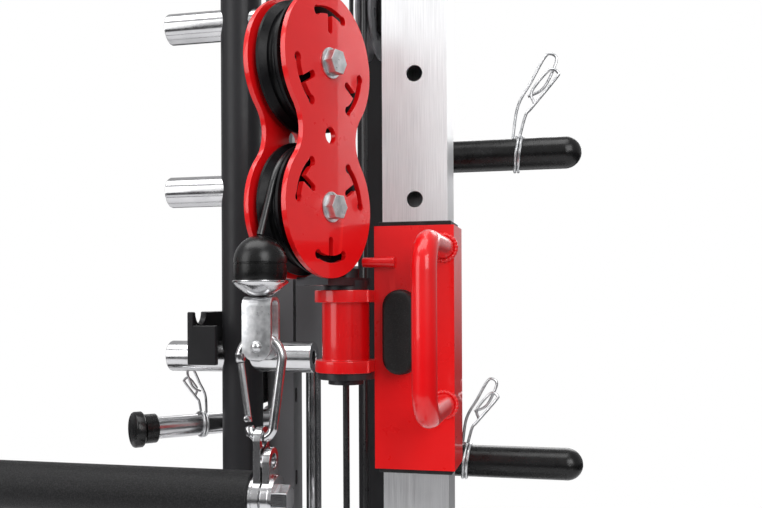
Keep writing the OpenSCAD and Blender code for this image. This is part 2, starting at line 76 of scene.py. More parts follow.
GRIP_MID = 19.5  # the handle's middle above the carriage's, in mm
rail_x = centre("right_liners").x
rail_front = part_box("rails")[0].y
carriage_z = centre("right_handle").z - GRIP_MID * MM
print("rail at", round(rail_x, 4), "front", round(rail_front, 4), "carriage", round(carriage_z, 4))

# %% [markdown]
# ## Camera
# The camera stands in front of the right tower, a little outside it and level with the carriage,
# and looks inwards. The frame is shifted up rather than tilted, so upright tubes stay parallel.

# %% Camera
LOOK_IN = math.radians(12.8)
ROLL = math.radians(-0.27)
SENSOR = 36
FOCAL, FRAME_WIDE, HORIZON_DROP = 850, 762, 46  # on one scale: only their ratios count
STAND_OUT, STAND_BACK, EYE_UP = 0.1406, 0.7587, 0.043  # metres from rail and carriage

camera_data = bpy.data.cameras.new("camera")
camera_data.sensor_width = SENSOR
camera_data.lens = SENSOR * FOCAL / FRAME_WIDE
camera_data.shift_y = HORIZON_DROP / FRAME_WIDE
camera = bpy.data.objects.new("camera", camera_data)
bpy.context.scene.collection.objects.link(camera)
turn = Matrix.Rotation(LOOK_IN, 4, "Z") @ Matrix.Rotation(math.radians(90), 4, "X")
camera.matrix_world = (
    Matrix.Translation((rail_x + STAND_OUT, rail_front - STAND_BACK, carriage_z + EYE_UP))
    @ turn @ Matrix.Rotation(ROLL, 4, "Z")
)
bpy.context.scene.camera = camera
print("lens", round(camera_data.lens, 2))

# %% [markdown]
# ## Light
# Bright steel shows what stands around it. A white sky over a dark lower half gives rails and
# pegs their pale tops and grey undersides, and four soft boxes put long highlights on the paint.
# Seen directly, the surroundings are plain white, as in a studio.

# %% Sky, soft boxes and floor
world = bpy.data.worlds.new("studio")
bpy.context.scene.world = world
world.use_nodes = True
wn = world.node_tree.nodes
wl = world.node_tree.links
wn.clear()
w_out = wn.new("ShaderNodeOutputWorld")
w_mix = wn.new("ShaderNodeMixShader")
w_seen = wn.new("ShaderNodeBackground")
w_sky = wn.new("ShaderNodeBackground")
w_path = wn.new("ShaderNodeLightPath")
w_co = wn.new("ShaderNodeTexCoord")
w_sep = wn.new("ShaderNodeSeparateXYZ")
w_ramp = wn.new("ShaderNodeValToRGB")
GROUND, SKY, SKY_POWER = (0.10, 0.10, 0.105, 1), (0.9, 0.9, 0.91, 1), 0.5
for end, at, tint in ((0, 0.46, GROUND), (1, 0.53, SKY)):
    w_ramp.color_ramp.elements[end].position = at
    w_ramp.color_ramp.elements[end].color = tint
w_half = wn.new("ShaderNodeMapRange")
w_half.inputs["From Min"].default_value = -1
w_seen.inputs["Color"].default_value = (1, 1, 1, 1)
w_seen.inputs["Strength"].default_value = 1.0
w_sky.inputs["Strength"].default_value = SKY_POWER
wl.new(w_co.outputs["Generated"], w_sep.inputs[0])
wl.new(w_sep.outputs["Z"], w_half.inputs["Value"])
wl.new(w_half.outputs["Result"], w_ramp.inputs["Fac"])
wl.new(w_ramp.outputs["Color"], w_sky.inputs["Color"])
wl.new(w_path.outputs["Is Camera Ray"], w_mix.inputs[0])
wl.new(w_sky.outputs[0], w_mix.inputs[1])
wl.new(w_seen.outputs[0], w_mix.inputs[2])
wl.new(w_mix.outputs[0], w_out.inputs[0])


def soft_box(name, place, aim, size, power):
    """A rectangular area light that faces a point."""
    data = bpy.data.lights.new(name, "AREA")
    data.shape = "RECTANGLE"
    data.size, data.size_y = size
    data.energy = power
    lamp = bpy.data.objects.new(name, data)
    bpy.context.scene.collection.objects.link(lamp)
    lamp.location = place
    lamp.rotation_euler = (Vector(aim) - Vector(place)).to_track_quat("-Z", "Y").to_euler()


tower = (rail_x - 0.05, rail_front, carriage_z + 0.1)
# Each lamp: its place, what it faces, its width and height in metres, its power in watts
SOFT_BOXES = {
    "key": ((rail_x + 1.6, rail_front - 2.2, carriage_z + 1.3), tower, (1.4, 1.8), 44),
    "fill": ((rail_x - 2.2, rail_front - 2.0, carriage_z + 0.9), tower, (1.6, 2.2), 34),
    "top": ((0, -0.6, 3.4), (0, 0, 1.0), (3.0, 1.6), 55),
    "back": ((0.6, 2.6, 2.4), (0, 0, 1.2), (2.6, 1.6), 40),
}
for lamp_name, (place, aim, size, power) in SOFT_BOXES.items():
    soft_box(lamp_name, place, aim, size, power)

FLOOR_HALF, FLOOR_DROP = 2.6, 0.0005
floor_mesh = bpy.data.meshes.new("studio_floor")
floor_corners = [(x * FLOOR_HALF, y * FLOOR_HALF, 0)
                 for x, y in ((-1, -1), (1, -1), (1, 1), (-1, 1))]
floor_mesh.from_pydata(floor_corners, [], [(0, 1, 2, 3)])
studio_floor = bpy.data.objects.new("studio_floor", floor_mesh)
bpy.context.scene.collection.objects.link(studio_floor)
studio_floor.location.z = -FLOOR_DROP
bpy.context.scene.view_settings.view_transform = "Standard"

# %% [markdown]
# ## Finishes
# Every finish is one Principled shader. Even values sit on its sockets. What varies over the
# surface, such as tone, gloss and fine relief, comes from noise in the piece's own coordinates,
# so it stays put when the machine moves.


# %% Finish helper
class Finish:
    """A Principled material with small helpers for the parts that vary."""

    def __init__(self, name, **even):
        self.mat = bpy.data.materials.new(name)
        self.mat.use_nodes = True
        self.nodes = self.mat.node_tree.nodes
        self.links = self.mat.node_tree.links
        self.shader = self.nodes["Principled BSDF"]
        for socket, value in even.items():
            self.shader.inputs[socket.replace("_", " ")].default_value = value
        self.place = self.nodes.new("ShaderNodeTexCoord").outputs["Object"]

    def noise(self, scale, stretch=(1, 1, 1), detail=4, rough=0.55):
        mapping = self.nodes.new("ShaderNodeMapping")
        mapping.inputs["Scale"].default_value = stretch
        tex = self.nodes.new("ShaderNodeTexNoise")
        tex.inputs["Scale"].default_value = scale
        tex.inputs["Detail"].default_value = detail
        tex.inputs["Roughness"].default_value = rough
        self.links.new(self.place, mapping.inputs["Vector"])
        self.links.new(mapping.outputs["Vector"], tex.inputs["Vector"])
        return tex.outputs["Fac"]

    def ramp(self, source, low, high, lo_at=0.35, hi_at=0.65):
        node = self.nodes.new("ShaderNodeValToRGB")
        node.color_ramp.elements[0].position = lo_at
        node.color_ramp.elements[0].color = (*low, 1)
        node.color_ramp.elements[1].position = hi_at
        node.color_ramp.elements[1].color = (*high, 1)
        self.links.new(source, node.inputs["Fac"])
        return node.outputs["Color"]

    def span(self, source, low, high):
        node = self.nodes.new("ShaderNodeMapRange")
        node.inputs["From Min"].default_value = 0.3
        node.inputs["From Max"].default_value = 0.7
        node.inputs["To Min"].default_value = low
        node.inputs["To Max"].default_value = high
        self.links.new(source, node.inputs["Value"])
        return node.outputs["Result"]

    def tone(self, source, low, high, lo_at=0.35, hi_at=0.65):
        colour = self.ramp(source, low, high, lo_at, hi_at)
        self.links.new(colour, self.shader.inputs["Base Color"])
        return self

    def gloss(self, source, low, high):
        self.links.new(self.span(source, low, high), self.shader.inputs["Roughness"])
        return self

    def relief(self, source, depth, strength=0.5):
        bump = self.nodes.new("ShaderNodeBump")
        bump.inputs["Distance"].default_value = depth
        bump.inputs["Strength"].default_value = strength
        self.links.new(source, bump.inputs["Height"])
        self.links.new(bump.outputs["Normal"], self.shader.inputs["Normal"])
        return self

    def painted_edge_highlight(self, base_low, base_high, highlight_tint, source):
        """Tone from noise, with a painted highlight: paler colour where the surface turns sharply.
        """
        geometry = self.nodes.new("ShaderNodeNewGeometry")
        edge = self.ramp(geometry.outputs["Pointiness"], (0, 0, 0), (1, 1, 1), 0.52, 0.62)
        mix = self.nodes.new("ShaderNodeMix")
        mix.data_type = "RGBA"
        self.links.new(edge, mix.inputs["Factor"])
        self.links.new(self.ramp(source, base_low, base_high), mix.inputs["A"])
        mix.inputs["B"].default_value = (*highlight_tint, 1)
        self.links.new(mix.outputs["Result"], self.shader.inputs["Base Color"])
        return self


print("finish helper ready")

# %% [markdown]
# ### Paint
# The carriage and housing are gloss red over smooth steel: a clear coat gives the hard, bright
# reflections, and a very shallow wide noise is the orange peel of sprayed paint. The frame is a
# black satin powder coat, and the pull bar a coarser one that feels like fine sandpaper.

# %% Painted finishes
red = Finish("gloss_red", Roughness=0.32, Coat_Weight=0.55, Coat_Roughness=0.04,
             Specular_IOR_Level=0.25)
# Convex edges get a brighter red: a painted highlight along them.
red.painted_edge_highlight((0.66, 0.002, 0.004), (0.76, 0.003, 0.006), (0.82, 0.015, 0.015), red.noise(9))
red.gloss(red.noise(35), 0.26, 0.36)
red.relief(red.noise(420, detail=2), 0.00006, 0.25)

frame_black = Finish("black_powder_coat", Specular_IOR_Level=0.22)
# Convex edges get a paler black: a painted highlight along them.
frame_black.painted_edge_highlight((0.004, 0.004, 0.0045), (0.008, 0.008, 0.009), (0.02, 0.02, 0.022),
                       frame_black.noise(14))
frame_black.gloss(frame_black.noise(60), 0.33, 0.45)
frame_black.relief(frame_black.noise(1900, detail=2), 0.00008, 0.3)

bar_black = Finish("coarse_black_coat", Specular_IOR_Level=0.25)
bar_black.tone(bar_black.noise(900, detail=3), (0.003, 0.003, 0.0035), (0.018, 0.018, 0.019),
               0.42, 0.72)
bar_black.gloss(bar_black.noise(700), 0.38, 0.62)
bar_black.relief(bar_black.noise(1100, detail=3, rough=0.7), 0.0004, 0.8)

sled_grey = Finish("grey_powder_coat")
# Convex edges get a paler grey: a painted highlight along them.
sled_grey.painted_edge_highlight((0.085, 0.087, 0.09), (0.12, 0.122, 0.126), (0.2, 0.2, 0.21),
                     sled_grey.noise(12))
sled_grey.gloss(sled_grey.noise(80), 0.4, 0.52)
sled_grey.relief(sled_grey.noise(1500, detail=2), 0.00012, 0.35)

dark_steel = Finish("blackened_steel", Metallic=0.7)
dark_steel.tone(dark_steel.noise(30), (0.03, 0.03, 0.033), (0.07, 0.07, 0.075))
dark_steel.gloss(dark_steel.noise(120), 0.3, 0.45)
print("painted finishes 5")

# %% [markdown]
# ### Bare metal
# Brushing is noise squeezed along the way the belt ran: upright on the rails. It drives both tone
# and gloss, because a scratch scatters light as well as catching it. Plated pegs and wire are
# mirror-like with faint smears, and zinc on bolts is duller and slightly cloudy.

# %% Metal finishes
rail_steel = Finish("brushed_stainless", Metallic=1.0, Anisotropic=0.6)
grain = rail_steel.noise(60, stretch=(28, 28, 0.35), detail=6, rough=0.7)
rail_steel.tone(grain, (0.72, 0.72, 0.73), (0.95, 0.95, 0.96), 0.3, 0.7)
rail_steel.gloss(grain, 0.34, 0.5)
rail_steel.relief(grain, 0.00006, 0.35)

chrome = Finish("chrome_plate", Metallic=1.0)
chrome.tone(chrome.noise(22), (0.58, 0.58, 0.59), (0.70, 0.70, 0.71))
chrome.gloss(chrome.noise(45), 0.14, 0.24)

zinc = Finish("zinc_plate", Metallic=1.0)
zinc.tone(zinc.noise(160, detail=5), (0.50, 0.51, 0.52), (0.72, 0.72, 0.73))
zinc.gloss(zinc.noise(240), 0.26, 0.42)
zinc.relief(zinc.noise(900, detail=2), 0.00008, 0.3)
print("metal finishes 3")

# %% [markdown]
# ### Rubber and plastics
# These are all near black, and only their surface tells them apart: the stop ball is soft and
# barely shines, the release grip is moulded with a fine grain, and the pulleys are turned nylon.

# %% Rubber and plastic finishes
rubber = Finish("black_rubber", Specular_IOR_Level=0.35)
rubber.tone(rubber.noise(60), (0.003, 0.003, 0.003), (0.007, 0.007, 0.0075))
rubber.gloss(rubber.noise(90), 0.22, 0.34)
rubber.relief(rubber.noise(1600, detail=2), 0.0001, 0.25)

grip_plastic = Finish("grained_plastic", Specular_IOR_Level=0.3)
grip_plastic.tone(grip_plastic.noise(1300, detail=3), (0.003, 0.003, 0.003), (0.03, 0.03, 0.031),
                  0.5, 0.8)
grip_plastic.gloss(grip_plastic.noise(500), 0.35, 0.55)
grip_plastic.relief(grip_plastic.noise(1300, detail=3, rough=0.7), 0.0004, 0.8)

liner_plastic = Finish("liner_plastic", Specular_IOR_Level=0.3)
liner_plastic.tone(liner_plastic.noise(90), (0.010, 0.010, 0.010), (0.022, 0.022, 0.023))
liner_plastic.gloss(liner_plastic.noise(200), 0.4, 0.55)

pulley_plastic = Finish("pulley_nylon", Specular_IOR_Level=0.12)
pulley_plastic.tone(pulley_plastic.noise(70), (0.003, 0.003, 0.0035), (0.008, 0.008, 0.009))
pulley_plastic.gloss(pulley_plastic.noise(150), 0.25, 0.38)

guide_plastic = Finish("grey_nylon")
guide_plastic.tone(guide_plastic.noise(70), (0.13, 0.13, 0.14), (0.20, 0.20, 0.21))
guide_plastic.gloss(guide_plastic.noise(150), 0.35, 0.48)

cable_coat = Finish("cable_coat", Coat_Weight=0.3, Coat_Roughness=0.2)
cable_coat.tone(cable_coat.noise(300, stretch=(1, 1, 0.2)), (0.006, 0.006, 0.007),
                (0.014, 0.014, 0.015))
cable_coat.gloss(cable_coat.noise(400), 0.25, 0.4)

pale_floor = Finish("pale_floor", Roughness=0.6)
pale_floor.tone(pale_floor.noise(3), (0.78, 0.78, 0.79), (0.82, 0.82, 0.83))
studio_floor.data.materials.append(pale_floor.mat)

FINISH = {
    "frame_black": frame_black, "rail_steel": rail_steel, "chrome": chrome, "zinc": zinc,
    "rubber": rubber, "bar_black": bar_black, "red": red, "liner_plastic": liner_plastic,
    "grip_plastic": grip_plastic, "dark_steel": dark_steel, "pulley_plastic": pulley_plastic,
    "guide_plastic": guide_plastic, "cable": cable_coat, "sled_grey": sled_grey,
}
slot_of = {s["node"]: s["material_slot"] for s in frame["record"]["subparts"]}
body_of = {n: b for b, names in frame["record"]["behaviour"]["bodies"].items() for n in names}
for node, thing in frame["nodes"].items():
    thing.data.materials.clear()
    thing.data.materials.append(FINISH[slot_of[node]].mat)
print("finishes", len(FINISH))

# %% [markdown]
# ## Softened steel
# A solid from CAD has knife edges, and real edges are never sharp: paint and plating round them,
# and that thin bright line is what makes steel look like steel. Each visible piece is copied from
# its solid, its flat faces are joined, and its sharp edges get a small bevel.


# %% Softening helper
def finish_piece(piece, slot, body, node=None):
    """Gives a piece its finish and body, and hides the node that it stands for."""
    piece.data.materials.clear()
    piece.data.materials.append(FINISH[slot].mat)
    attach(piece, body)
    if node:
        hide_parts(node)
    return piece


def link_mesh(name, mesh):
    piece = bpy.data.objects.new(name, mesh)
    bpy.context.scene.collection.objects.link(piece)
    return piece


def apply_modifiers(piece):
    bpy.context.view_layer.update()
    ready = piece.evaluated_get(bpy.context.evaluated_depsgraph_get())
    mesh = bpy.data.meshes.new_from_object(ready)
    piece.modifiers.clear()
    piece.data = mesh
    return piece


def smooth(piece, angle=math.radians(32)):
    piece.data.polygons.foreach_set("use_smooth", [True] * len(piece.data.polygons))
    piece.data.set_sharp_from_angle(angle=angle)


SEAM = 2e-6
FLAT_TURN, EDGE_TURN = math.radians(0.6), math.radians(40)


def softened(node, width, segments=2):
    """A copy of a CAD node with its flat faces joined and its sharp edges rounded."""
    bm = bmesh.new()
    bm.from_mesh(frame["nodes"][node].data)
    bmesh.ops.remove_doubles(bm, verts=bm.verts, dist=SEAM)
    bmesh.ops.dissolve_limit(bm, angle_limit=FLAT_TURN, verts=bm.verts, edges=bm.edges)
    mesh = bpy.data.meshes.new(node + "_body")
    bm.to_mesh(mesh)
    bm.free()
    piece = link_mesh(node + "_body", mesh)
    bevel = piece.modifiers.new("bevel", "BEVEL")
    bevel.width = width
    bevel.segments = segments
    bevel.limit_method = "ANGLE"
    bevel.angle_limit = EDGE_TURN
    bevel.use_clamp_overlap = True
    bevel.harden_normals = False
    apply_modifiers(piece)
    smooth(piece)
    flat = piece.modifiers.new("flat", "WEIGHTED_NORMAL")
    flat.mode = "FACE_AREA"
    flat.weight = 100
    flat.keep_sharp = True
    apply_modifiers(piece)
    return finish_piece(piece, slot_of[node], body_of[node], node)


# %% Edges of the carriages, housings and fittings
SOFT_EDGES = {"sleeve": 1.1, "barrel": 1.0, "plates": 0.9, "liners": 0.8,
              "housing_bolts": 0.6, "spindle": 0.8, "sled": 2.0}
for side in SIDES:
    for part, width in SOFT_EDGES.items():
        softened(f"{side}_{part}", width * MM)
SHARED_EDGES = {"floor_frame": 3, "crown_frame": 3, "rear_posts": 4, "rails": 2.5,
                "bar_hooks": 1.5, "rack_pegs": 2, "bar_end_fittings": 0.7, "pull_bar": 1.2}
for node, width in SHARED_EDGES.items():
    softened(node, width * MM)
print("softened", len(SIDES) * len(SOFT_EDGES) + len(SHARED_EDGES))

# %% [markdown]
# ## Turned and bent pieces
# Two ways of shaping cover the rest. A turned piece is a half outline spun about its axis, like
# work in a lathe. A bent piece is a round wire or rod swept along its middle line.


# %% Turning and bending helpers
def spot(side, x, y, z):
    """A place in a tower: x out from the rail's middle, y back from its front, z up, in mm."""
    return Vector((SIDES[side] * (rail_x + x * MM), rail_front + y * MM, z * MM))


CAR = carriage_z / MM


def as_piece(name, verts, faces):
    mesh = bpy.data.meshes.new(name)
    bm = bmesh.new()
    made = [bm.verts.new(v) for v in verts]
    for face in faces:
        if len(set(face)) > 2:
            bm.faces.new([made[i] for i in face])
    bmesh.ops.remove_doubles(bm, verts=bm.verts, dist=1e-6)
    bmesh.ops.recalc_face_normals(bm, faces=bm.faces)
    bm.to_mesh(mesh)
    bm.free()
    piece = link_mesh(name, mesh)
    smooth(piece)
    return piece


def swept(name, path, radius, sides=20, closed=False, start=None):
    """A round rod along a path. radius is one value or one for each point."""
    n = len(path)
    radii = radius if isinstance(radius, list) else [radius] * n
    ahead = []
    for i in range(n):
        a = path[(i - 1) % n] if closed or i > 0 else path[0]
        b = path[(i + 1) % n] if closed or i < n - 1 else path[-1]
        ahead.append((b - a).normalized())
    across = start or ahead[0].orthogonal()
    verts = []
    for i in range(n):
        across = (across - ahead[i] * across.dot(ahead[i])).normalized()
        other = ahead[i].cross(across)
        for k in range(sides):
            a = 2 * math.pi * k / sides
            verts.append(path[i] + radii[i] * (math.cos(a) * across + math.sin(a) * other))
    faces = []
    for i in range(n if closed else n - 1):
        j = (i + 1) % n
        for k in range(sides):
            m = (k + 1) % sides
            faces.append((i * sides + k, i * sides + m, j * sides + m, j * sides + k))
    if not closed:
        faces.append(tuple(range(sides)))
        faces.append(tuple((n - 1) * sides + k for k in range(sides)))
    return as_piece(name, verts, faces)


def turned(name, outline, origin, axis, sides=64):
    """Spins (radius, height) pairs in mm about an axis from origin."""
    axis = Vector(axis).normalized()
    across = axis.orthogonal().normalized()
    other = axis.cross(across)
    verts = []
    for r, h in outline:
        for k in range(sides):
            a = 2 * math.pi * k / sides
            spoke = math.cos(a) * across + math.sin(a) * other
            verts.append(origin + axis * h * MM + r * MM * spoke)
    faces = []
    for i in range(len(outline) - 1):
        for k in range(sides):
            m = (k + 1) % sides
            faces.append((i * sides + k, i * sides + m, (i + 1) * sides + m, (i + 1) * sides + k))
    if outline[0] != outline[-1]:
        if outline[0][0] > 0:
            faces.append(tuple(range(sides)))
        if outline[-1][0] > 0:
            faces.append(tuple((len(outline) - 1) * sides + k for k in range(sides)))
    return as_piece(name, verts, faces)


def bend(points, radius, steps=8):
    """Rounds the corners of a broken line with arcs."""
    out = [points[0]]
    for a, b, c in zip(points, points[1:], points[2:]):
        u, v = (a - b).normalized(), (c - b).normalized()
        half = u.angle(v) / 2
        cut = radius / math.tan(half)
        middle = b + (u + v).normalized() * radius / math.sin(half)
        p, q = b + u * cut - middle, b + v * cut - middle
        for i in range(steps + 1):
            t, whole = i / steps, p.angle(q)
            swing = p * math.sin((1 - t) * whole) + q * math.sin(t * whole)
            out.append(middle + swing / math.sin(whole))
    out.append(points[-1])
    return out


def joined(name, pieces):
    """One object from several."""
    bm = bmesh.new()
    for piece in pieces:
        bm.from_mesh(piece.data)
        bpy.data.objects.remove(piece)
    mesh = bpy.data.meshes.new(name)
    bm.to_mesh(mesh)
    bm.free()
    piece = link_mesh(name, mesh)
    smooth(piece)
    return piece


print("helpers ready; carriage middle", round(CAR, 1))

# %% [markdown]
# ### Pull handle
# Twenty-millimetre rod is bent cold into a D and welded to the sleeve's face. The bends are
# round and the rod keeps its size through them, so one sweep makes it. Each leg ends in a rippled
# ring, as a welder leaves when the pool is laid down drop by drop.


# %% Handles and weld rings
def ripple_ring(name, origin, axis, radius, bead, drops, sides=12):
    """A weld laid round a rod."""
    axis = Vector(axis).normalized()
    across = axis.orthogonal().normalized()
    other = axis.cross(across)
    steps = drops * 6
    path, thick = [], []
    for i in range(steps):
        a = 2 * math.pi * i / steps
        lap = (i % 6) / 6
        path.append(origin + radius * MM * (math.cos(a) * across + math.sin(a) * other))
        thick.append(bead * MM * (0.82 + 0.18 * math.sin(math.pi * lap)))
    return swept(name, path, thick, sides, closed=True, start=axis)


GRIP_X, GRIP_Y, GRIP_R, LEG = 27, -107.5, 10, 70
GRIP_FOOT, GRIP_BEND = -5.5, 24
WELD_Y, WELD_R, BEAD, DROPS = -7.6, 11.2, 2.3, 22
for side in SIDES:
    top, low = CAR + GRIP_MID + LEG, CAR + GRIP_MID - LEG
    corners = [spot(side, GRIP_X, GRIP_FOOT, top), spot(side, GRIP_X, GRIP_Y, top),
               spot(side, GRIP_X, GRIP_Y, low), spot(side, GRIP_X, GRIP_FOOT, low)]
    rod = swept("rod", bend(corners, GRIP_BEND * MM, 12), GRIP_R * MM, 32, start=Vector((1, 0, 0)))
    rings = [ripple_ring("ring", spot(side, GRIP_X, WELD_Y, z), (0, 1, 0), WELD_R, BEAD, DROPS)
             for z in (top, low)]
    handle = joined(f"{side}_handle_rod", [rod] + rings)
    finish_piece(handle, "red", body_of[f"{side}_handle"], f"{side}_handle")
print("handles 2, each with 2 weld rings")

# %% [markdown]
# ### Release grip
# The grip is moulded, so it has a crowned face and generous corner radii: a mould lets go of
# rounded shapes, and fingers like them. A rounded outline is stacked in shrinking layers.


# %% Release grips
def crowned(name, side, x, z, w, h, y_back, y_front, crown):
    """A moulded block with a rounded outline and a domed face towards -y."""
    steps, layers = 14, 9
    ring = 2 * (steps + 1)
    verts, faces = [], []

    def outline(inset):
        pts = []
        r = w / 2 - inset
        for end, start in ((1, 0), (-1, math.pi)):
            for i in range(steps + 1):
                a = start + math.pi * i / steps
                pts.append((x + r * math.cos(a), z + end * (h - w) / 2 + r * math.sin(a)))
        return pts

    levels = [(0, y_back)]
    for i in range(layers + 1):
        a = math.pi / 2 * i / layers
        levels.append((crown * (1 - math.cos(a)), y_front + crown * (1 - math.sin(a))))
    last = w / 2 - crown
    for i in (1, 2, 3):
        levels.append((crown + last * i / 4, y_front - 0.9 * math.sin(math.pi / 2 * i / 4)))
    for inset, y in levels:
        verts += [spot(side, px, y, pz) for px, pz in outline(inset)]
    for i in range(len(levels) - 1):
        for k in range(ring):
            m = (k + 1) % ring
            faces.append((i * ring + k, i * ring + m, (i + 1) * ring + m, (i + 1) * ring + k))
    faces.append(tuple(range(ring)))
    faces.append(tuple((len(levels) - 1) * ring + k for k in range(ring)))
    return as_piece(name, verts, faces)


CAP_X, CAP_Z, CAP_WIDE, CAP_TALL, CAP_SET, CAP_CROWN = -12, 14, 30, 76, 1, 5
for side in SIDES:
    lo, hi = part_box(f"{side}_release_grip")
    y_front, y_back = (lo.y - rail_front) / MM, (hi.y - rail_front) / MM
    grip = crowned(f"{side}_release_cap", side, CAP_X, CAR + CAP_Z, CAP_WIDE, CAP_TALL,
                   y_back, y_front + CAP_SET, CAP_CROWN)
    finish_piece(grip, "grip_plastic", body_of[f"{side}_release_grip"], f"{side}_release_grip")
print("release grips 2")

# %% [markdown]
# ### Stop ball and cup
# The rubber ball is cast in two halves round the cable: a shallow seam shows at its widest, and
# a plain band runs below it into a chrome cup spun from sheet. Hard chrome against matt rubber
# keeps the cup's rim reading as a bright line.

# %% Stop balls, cups and straps
BALL_R, BALL_Z, BAND = 21.4, 73.5, 14.5
for side in SIDES:
    middle = centre(f"{side}_stop_ball")
    middle.z = (CAR + BALL_Z) * MM
    dome = [(BALL_R * math.sin(math.radians(a)), BALL_R * math.cos(math.radians(a)))
            for a in range(10, 91, 5)]
    outline = [(3.0, BALL_R * math.cos(math.radians(8)))] + dome + [
        (BALL_R, -0.4), (BALL_R - 0.7, -0.9), (BALL_R - 0.7, -1.5), (BALL_R - 0.2, -2.0),
        (BALL_R - 0.3, -8), (BALL_R - 0.8, -12.5), (BALL_R - 1.6, -BAND)]
    ball = turned(f"{side}_stop_rubber", outline, middle, (0, 0, 1))
    finish_piece(ball, "rubber", body_of[f"{side}_stop_ball"], f"{side}_stop_ball")
    cup_line = [(BALL_R + 0.2, -BAND + 0.1), (BALL_R + 0.9, -BAND - 0.3),
                (BALL_R + 1.0, -BAND - 1.0), (BALL_R + 0.6, -BAND - 2.2), (19.6, -BAND - 4.4),
                (16.8, -BAND - 6.9), (13.6, -BAND - 9.3), (10.4, -BAND - 11.2), (7, -BAND - 12.6)]
    cup = turned("cup", cup_line, middle, (0, 0, 1))
    cup.name = f"{side}_spun_cup"
    finish_piece(cup, "chrome", body_of[f"{side}_end_strap"], f"{side}_end_strap")
print("stop balls 2, cups 2")

# %% [markdown]
# ### Spring hook
# The hook is one length of round wire, wide at the top for the strap's rivet and narrow below for
# the link. Its gate is a thinner wire with a rivet at the hinge, and a small nose that meets it.


# %% Spring hooks and gates
def arc_xz(side, mid, z, r, start, end, steps):
    y = (mid.y - rail_front) / MM
    x = SIDES[side] * mid.x / MM - rail_x / MM
    angles = [math.radians(start + (end - start) * i / steps) for i in range(steps + 1)]
    return [spot(side, x + r * math.cos(a), y, CAR + z + r * math.sin(a)) for a in angles]


WIRE = 7.5
HOOK_TOP_R, HOOK_LOW_R, HOOK_TOP_Z, HOOK_LOW_Z = 17.5, 10, -2.95, -56.25
GATE_R, GATE_START, GATE_GAP, PIN_AT = 2.9, 4.2, 1.4, 7
LEAN = math.degrees(math.asin((HOOK_TOP_R - HOOK_LOW_R) / (HOOK_TOP_Z - HOOK_LOW_Z)))
for side in SIDES:
    mid = centre(f"{side}_carabiner")
    low = arc_xz(side, mid, HOOK_LOW_Z, HOOK_LOW_R, 180 + LEAN, 360 - LEAN, 14)
    high = arc_xz(side, mid, HOOK_TOP_Z, HOOK_TOP_R, -LEAN, 180 + LEAN, 24)
    hook = swept("hook", low + high, WIRE / 2 * MM, 20, start=Vector((0, 1, 0)))
    nose = [(0, 1.2), (2.2, 1.0), (3.5, 0.3), (4.1, -1), (4.1, -6), (3.5, -6.6)]
    ends = [turned("end", nose, p, d, 24)
            for p, d in ((low[0], low[0] - low[1]), (high[-1], high[-1] - high[-2]))]
    hook = joined(f"{side}_spring_hook", [hook] + ends)
    finish_piece(hook, "chrome", body_of[f"{side}_carabiner"], f"{side}_carabiner")
    foot, tip = low[0], high[-1]
    run = (tip - foot).normalized()
    gate = swept("wire", [foot + run * GATE_START * MM, tip - run * GATE_GAP * MM], GATE_R * MM, 18,
                 start=Vector((0, 1, 0)))
    pin = turned("pin", [(0, -5.0), (2.0, -4.6), (2.6, -3.6), (2.6, 3.6), (2.0, 4.6), (0, 5.0)],
                 foot + run * PIN_AT * MM, (0, 1, 0), 24)
    gate = joined(f"{side}_hook_gate", [gate, pin])
    finish_piece(gate, "chrome", body_of[f"{side}_gate"], f"{side}_gate")
print("spring hooks 2, gates 2")

# %% [markdown]
# ### Cables
# A coated wire rope hangs straight under load and lies in each groove it passes. In the machine,
# the stretch to the ball lengthens as the bar is pulled and parts from the housing's groove, the
# drop below the carriage changes as it slides, and the one to the sled shortens as it rises. A
# length that lies on one body rides that body. A length shared by two bodies is left on no body,
# with its place baked in as drawn.

# %% Cables
AXIS_X, AXIS_Y, GROOVE, LOW_Z, ROPE = -62, -12, 52, 121.5, 3
GUIDE_R, BASE_Z, CROWN_Z, SLED_X, ROD_Y, SLED_TOP = 37, 150, 2078, -145, 330, CAR + 87
FOOT_LIFT, NECK_DROP, BALL_OUT = 0.7, 34, 117
OUT = (-math.cos(math.radians(70)), -math.sin(math.radians(70)))
ACROSS = Vector((SLED_X - AXIS_X, ROD_Y - AXIS_Y - 2 * GUIDE_R)).normalized()


def groove_arc(side, cx, cy, cz, r, start, end, way, steps=16):
    """Points of an arc that stands upright over a direction."""
    out = []
    for i in range(steps + 1):
        a = math.radians(start + (end - start) * i / steps)
        out.append(spot(side, cx + r * math.cos(a) * way[0], cy + r * math.cos(a) * way[1],
                        cz + r * math.sin(a)))
    return out


